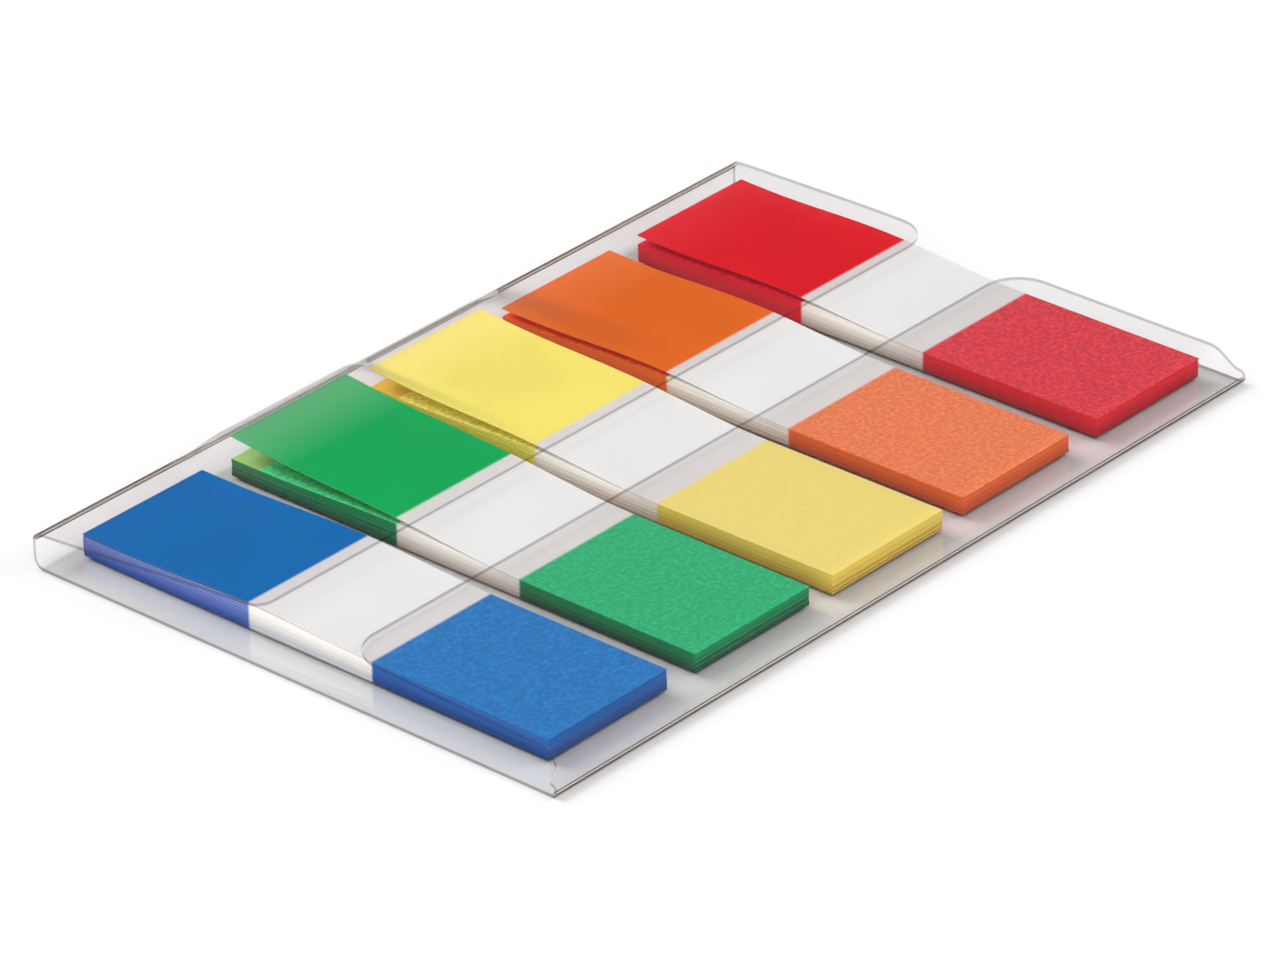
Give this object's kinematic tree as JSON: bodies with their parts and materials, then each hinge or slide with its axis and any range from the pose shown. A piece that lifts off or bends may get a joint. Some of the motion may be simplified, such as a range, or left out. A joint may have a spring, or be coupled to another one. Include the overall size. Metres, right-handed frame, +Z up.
{
  "type": "sticky index tabs in a folded film holder",
  "caption": "Pads of narrow sticky film index tabs, in blue, green, yellow, orange and red, held side by side in a folded clear film holder with a window.",
  "frame": {"origin": "under the middle of the holder, on the surface that it lies on", "axes": "+X along the row of pads from blue to red, +Y across the holder from the low fold to the tall fold, +Z up"},
  "size_m": [0.0744, 0.0484, 0.0041],
  "materials": {
    "clear_film": "clear, glossy folded film",
    "blue_film": "stack of thin film flags, matt and slightly cloudy at the sticky ends, white in the middle",
    "blue_flag": "thin film flag, glossy coloured end and frosted sticky end",
    "green_film": "stack of thin film flags, matt and slightly cloudy at the sticky ends, white in the middle",
    "green_flag": "thin film flag, glossy coloured end and frosted sticky end",
    "yellow_film": "stack of thin film flags, matt and slightly cloudy at the sticky ends, white in the middle",
    "yellow_flag": "thin film flag, glossy coloured end and frosted sticky end",
    "orange_film": "stack of thin film flags, matt and slightly cloudy at the sticky ends, white in the middle",
    "orange_flag": "thin film flag, glossy coloured end and frosted sticky end",
    "red_film": "stack of thin film flags, matt and slightly cloudy at the sticky ends, white in the middle",
    "red_flag": "thin film flag, glossy coloured end and frosted sticky end"
  },
  "bodies": {
    "root": {"film_holder": "clear_film", "blue_pad": "blue_film", "blue_top_flag": "blue_flag", "green_pad": "green_film", "green_top_flag": "green_flag", "yellow_pad": "yellow_film", "yellow_top_flag": "yellow_flag", "orange_pad": "orange_film", "orange_top_flag": "orange_flag", "red_pad": "red_film", "red_top_flag": "red_flag"}
  },
  "joints": []
}
